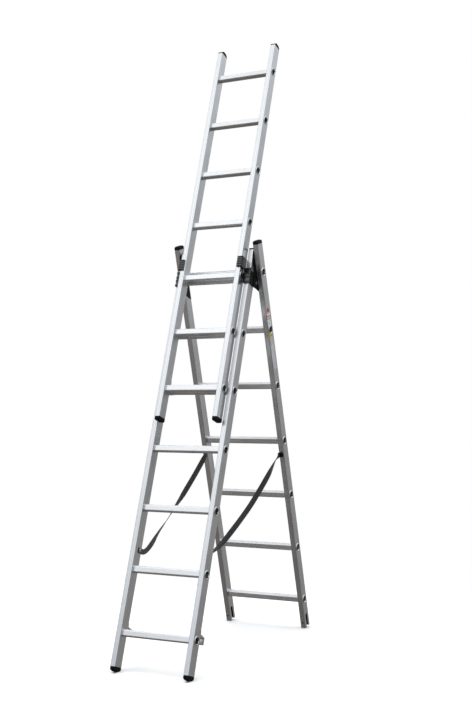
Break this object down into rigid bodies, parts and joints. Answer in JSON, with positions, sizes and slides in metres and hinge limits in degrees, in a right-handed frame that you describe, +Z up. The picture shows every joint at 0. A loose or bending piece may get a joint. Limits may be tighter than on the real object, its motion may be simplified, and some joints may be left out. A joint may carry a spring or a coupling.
{
  "type": "combination ladder",
  "caption": "Aluminium combination ladder stood as a stepladder, its narrow top section run out above the hinge, with hooks, guide brackets, hinge plates and slack straps.",
  "frame": {"origin": "on the floor, midway between the two stiles and midway between the foremost and the rearmost point", "axes": "+X to the climber's right when facing the front rungs, +Y from the front legs to the rear legs, +Z up"},
  "size_m": [0.4568, 1.2028, 2.9618],
  "materials": {
    "stile_aluminium": "extruded, satin, fine lengthwise lines",
    "rung_aluminium": "extruded, satin, ribbed tread",
    "rubber": "moulded rubber, matt",
    "black_plastic": "moulded, fine grain",
    "black_coated_steel": "black coating, satin",
    "cast_hook": "zinc plated, dull",
    "zinc_plated_steel": "zinc plated, bright",
    "webbing": "woven polyester webbing"
  },
  "bodies": {
    "base": {"base_stile_left": "stile_aluminium", "base_stile_right": "stile_aluminium", "base_rung_1": "rung_aluminium", "base_rung_2": "rung_aluminium", "base_rung_3": "rung_aluminium", "base_rung_4": "rung_aluminium", "base_rung_5": "rung_aluminium", "base_rung_6": "rung_aluminium", "base_rung_7": "rung_aluminium", "base_top_cap_left": "black_plastic", "base_top_cap_right": "black_plastic", "base_foot_left": "rubber", "base_foot_right": "rubber", "base_hook_left": "cast_hook", "base_hook_right": "cast_hook", "base_hook_rivets": "zinc_plated_steel", "guide_bracket_left": "black_plastic", "guide_bracket_right": "black_plastic", "base_hinge_plate_left": "black_coated_steel", "base_hinge_plate_right": "black_coated_steel", "base_plate_rivets": "black_coated_steel", "hinge_pin_left": "zinc_plated_steel", "hinge_pin_right": "zinc_plated_steel", "base_strap_screws": "zinc_plated_steel", "strap_left": "webbing", "strap_right": "webbing"},
    "fly": {"fly_stile_left": "stile_aluminium", "fly_stile_right": "stile_aluminium", "fly_rung_1": "rung_aluminium", "fly_rung_2": "rung_aluminium", "fly_rung_3": "rung_aluminium", "fly_rung_4": "rung_aluminium", "fly_rung_5": "rung_aluminium", "fly_rung_6": "rung_aluminium", "fly_rung_7": "rung_aluminium", "fly_top_cap_left": "black_plastic", "fly_top_cap_right": "black_plastic", "fly_bottom_plug_left": "rubber", "fly_bottom_plug_right": "rubber", "fly_hook_left": "cast_hook", "fly_hook_right": "cast_hook", "fly_hook_rivets": "zinc_plated_steel"},
    "rear": {"rear_stile_left": "stile_aluminium", "rear_stile_right": "stile_aluminium", "rear_rung_1": "rung_aluminium", "rear_rung_2": "rung_aluminium", "rear_rung_3": "rung_aluminium", "rear_rung_4": "rung_aluminium", "rear_rung_5": "rung_aluminium", "rear_rung_6": "rung_aluminium", "rear_rung_7": "rung_aluminium", "rear_top_cap_left": "black_plastic", "rear_top_cap_right": "black_plastic", "rear_bottom_insert_left": "black_plastic", "rear_bottom_insert_right": "black_plastic", "rear_hinge_plate_left": "black_coated_steel", "rear_hinge_plate_right": "black_coated_steel", "rear_plate_rivets": "black_coated_steel", "rear_strap_screws": "black_coated_steel"}
  },
  "joints": [
    {"name": "rear_fold", "type": "hinge", "parent": "base", "child": "rear", "pos_m": [0, 0.08156, 1.72199], "axis": [-1, 0, 0], "range_deg": [0, 34.6], "deforming": ["strap_left", "strap_right"]},
    {"name": "fly_slide", "type": "slide", "parent": "base", "child": "fly", "axis": [0, 0.3387, 0.9409], "range_m": [-1.12, 0]}
  ]
}
